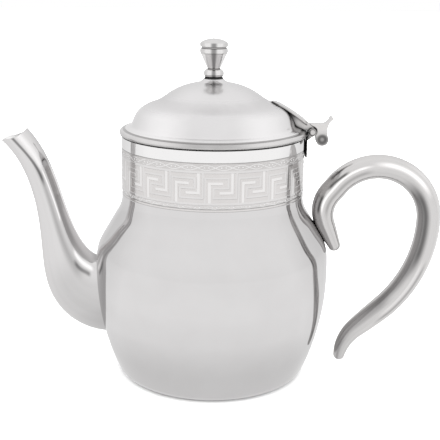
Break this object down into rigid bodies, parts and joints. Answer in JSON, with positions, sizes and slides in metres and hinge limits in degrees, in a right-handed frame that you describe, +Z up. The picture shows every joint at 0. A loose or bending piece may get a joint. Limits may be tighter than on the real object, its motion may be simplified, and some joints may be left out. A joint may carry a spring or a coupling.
{
  "type": "dallah coffee pot",
  "caption": "Polished steel coffee pot with a rounded body and straight neck, a curved tapering spout, an open hooked handle, and a domed hinged lid with a thumb lever and turned knob.",
  "frame": {"origin": "centre of the flat base, on the surface that the pot stands on", "axes": "+X from the pot's axis towards the handle and the lid hinge, -X towards the spout, +Y across, +Z up along the pot's axis"},
  "size_m": [0.238, 0.1268, 0.1834],
  "materials": {
    "polished_steel": "mirror polished stainless steel",
    "hinge_steel": "polished cast stainless steel",
    "inner_steel": "plain stainless steel",
    "gasket_rubber": "matt black"
  },
  "bodies": {
    "pot": {"body_shell": "polished_steel", "spout": "polished_steel", "spout_strainer": "inner_steel", "handle": "polished_steel", "hinge_leaf": "hinge_steel", "hinge_pin": "hinge_steel"},
    "lid": {"lid_shell": "polished_steel", "lid_skirt": "inner_steel", "lid_strap": "hinge_steel", "thumb_scroll": "hinge_steel", "knob": "polished_steel", "knob_gasket": "gasket_rubber", "knob_screw": "inner_steel", "knob_screw_washer": "inner_steel"}
  },
  "joints": [
    {"name": "lid_hinge", "type": "hinge", "parent": "pot", "child": "lid", "pos_m": [0.0526, 0, 0.1352], "axis": [0, 1, 0], "range_deg": [0, 40]}
  ]
}
